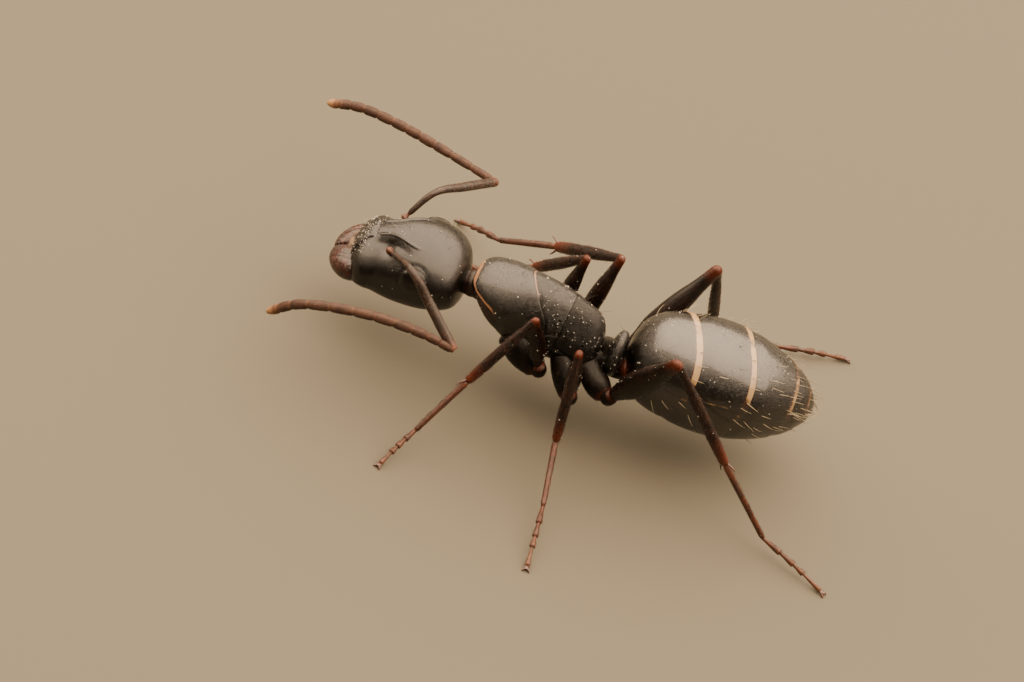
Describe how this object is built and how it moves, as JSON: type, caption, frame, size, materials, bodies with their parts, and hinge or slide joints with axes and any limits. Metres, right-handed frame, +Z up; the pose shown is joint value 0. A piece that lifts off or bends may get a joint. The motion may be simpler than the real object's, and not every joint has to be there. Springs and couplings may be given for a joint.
{
  "type": "carpenter ant model",
  "caption": "Life-size still model of a black carpenter ant worker, walking on its feet with its elbowed feelers spread.",
  "frame": {"origin": "middle of the footprint box, at the level of the foot flats", "axes": "-X ahead of the ant, -Y to its left, +Z up"},
  "size_m": [0.0126, 0.0093, 0.0037],
  "materials": {
    "chitin": "glossy near-black shell",
    "eye": "faceted dark eye",
    "mandible": "glossy dark red jaw",
    "feeler": "satin brown feeler",
    "leg": "glossy dark brown leg",
    "foot": "satin orange-brown foot"
  },
  "bodies": {
    "root": {"coxa_front_left": "leg", "coxa_front_right": "leg", "coxa_hind_left": "leg", "coxa_hind_right": "leg", "coxa_middle_left": "leg", "coxa_middle_right": "leg", "eye_left": "eye", "eye_right": "eye", "femur_front_left": "leg", "femur_front_right": "leg", "femur_hind_left": "leg", "femur_hind_right": "leg", "femur_middle_left": "leg", "femur_middle_right": "leg", "funiculus_left": "feeler", "funiculus_right": "feeler", "gaster_1": "chitin", "gaster_2": "chitin", "gaster_3": "chitin", "gaster_4": "chitin", "gaster_5": "chitin", "head": "chitin", "mandible_left": "mandible", "mandible_right": "mandible", "mesonotum": "chitin", "petiole": "chitin", "pronotum": "chitin", "propodeum": "chitin", "scape_left": "feeler", "scape_right": "feeler", "tarsus_front_left": "foot", "tarsus_front_right": "foot", "tarsus_hind_left": "foot", "tarsus_hind_right": "foot", "tarsus_middle_left": "foot", "tarsus_middle_right": "foot", "tibia_front_left": "leg", "tibia_front_right": "leg", "tibia_hind_left": "leg", "tibia_hind_right": "leg", "tibia_middle_left": "leg", "tibia_middle_right": "leg", "trochanter_front_left": "leg", "trochanter_front_right": "leg", "trochanter_hind_left": "leg", "trochanter_hind_right": "leg", "trochanter_middle_left": "leg", "trochanter_middle_right": "leg"}
  },
  "joints": []
}
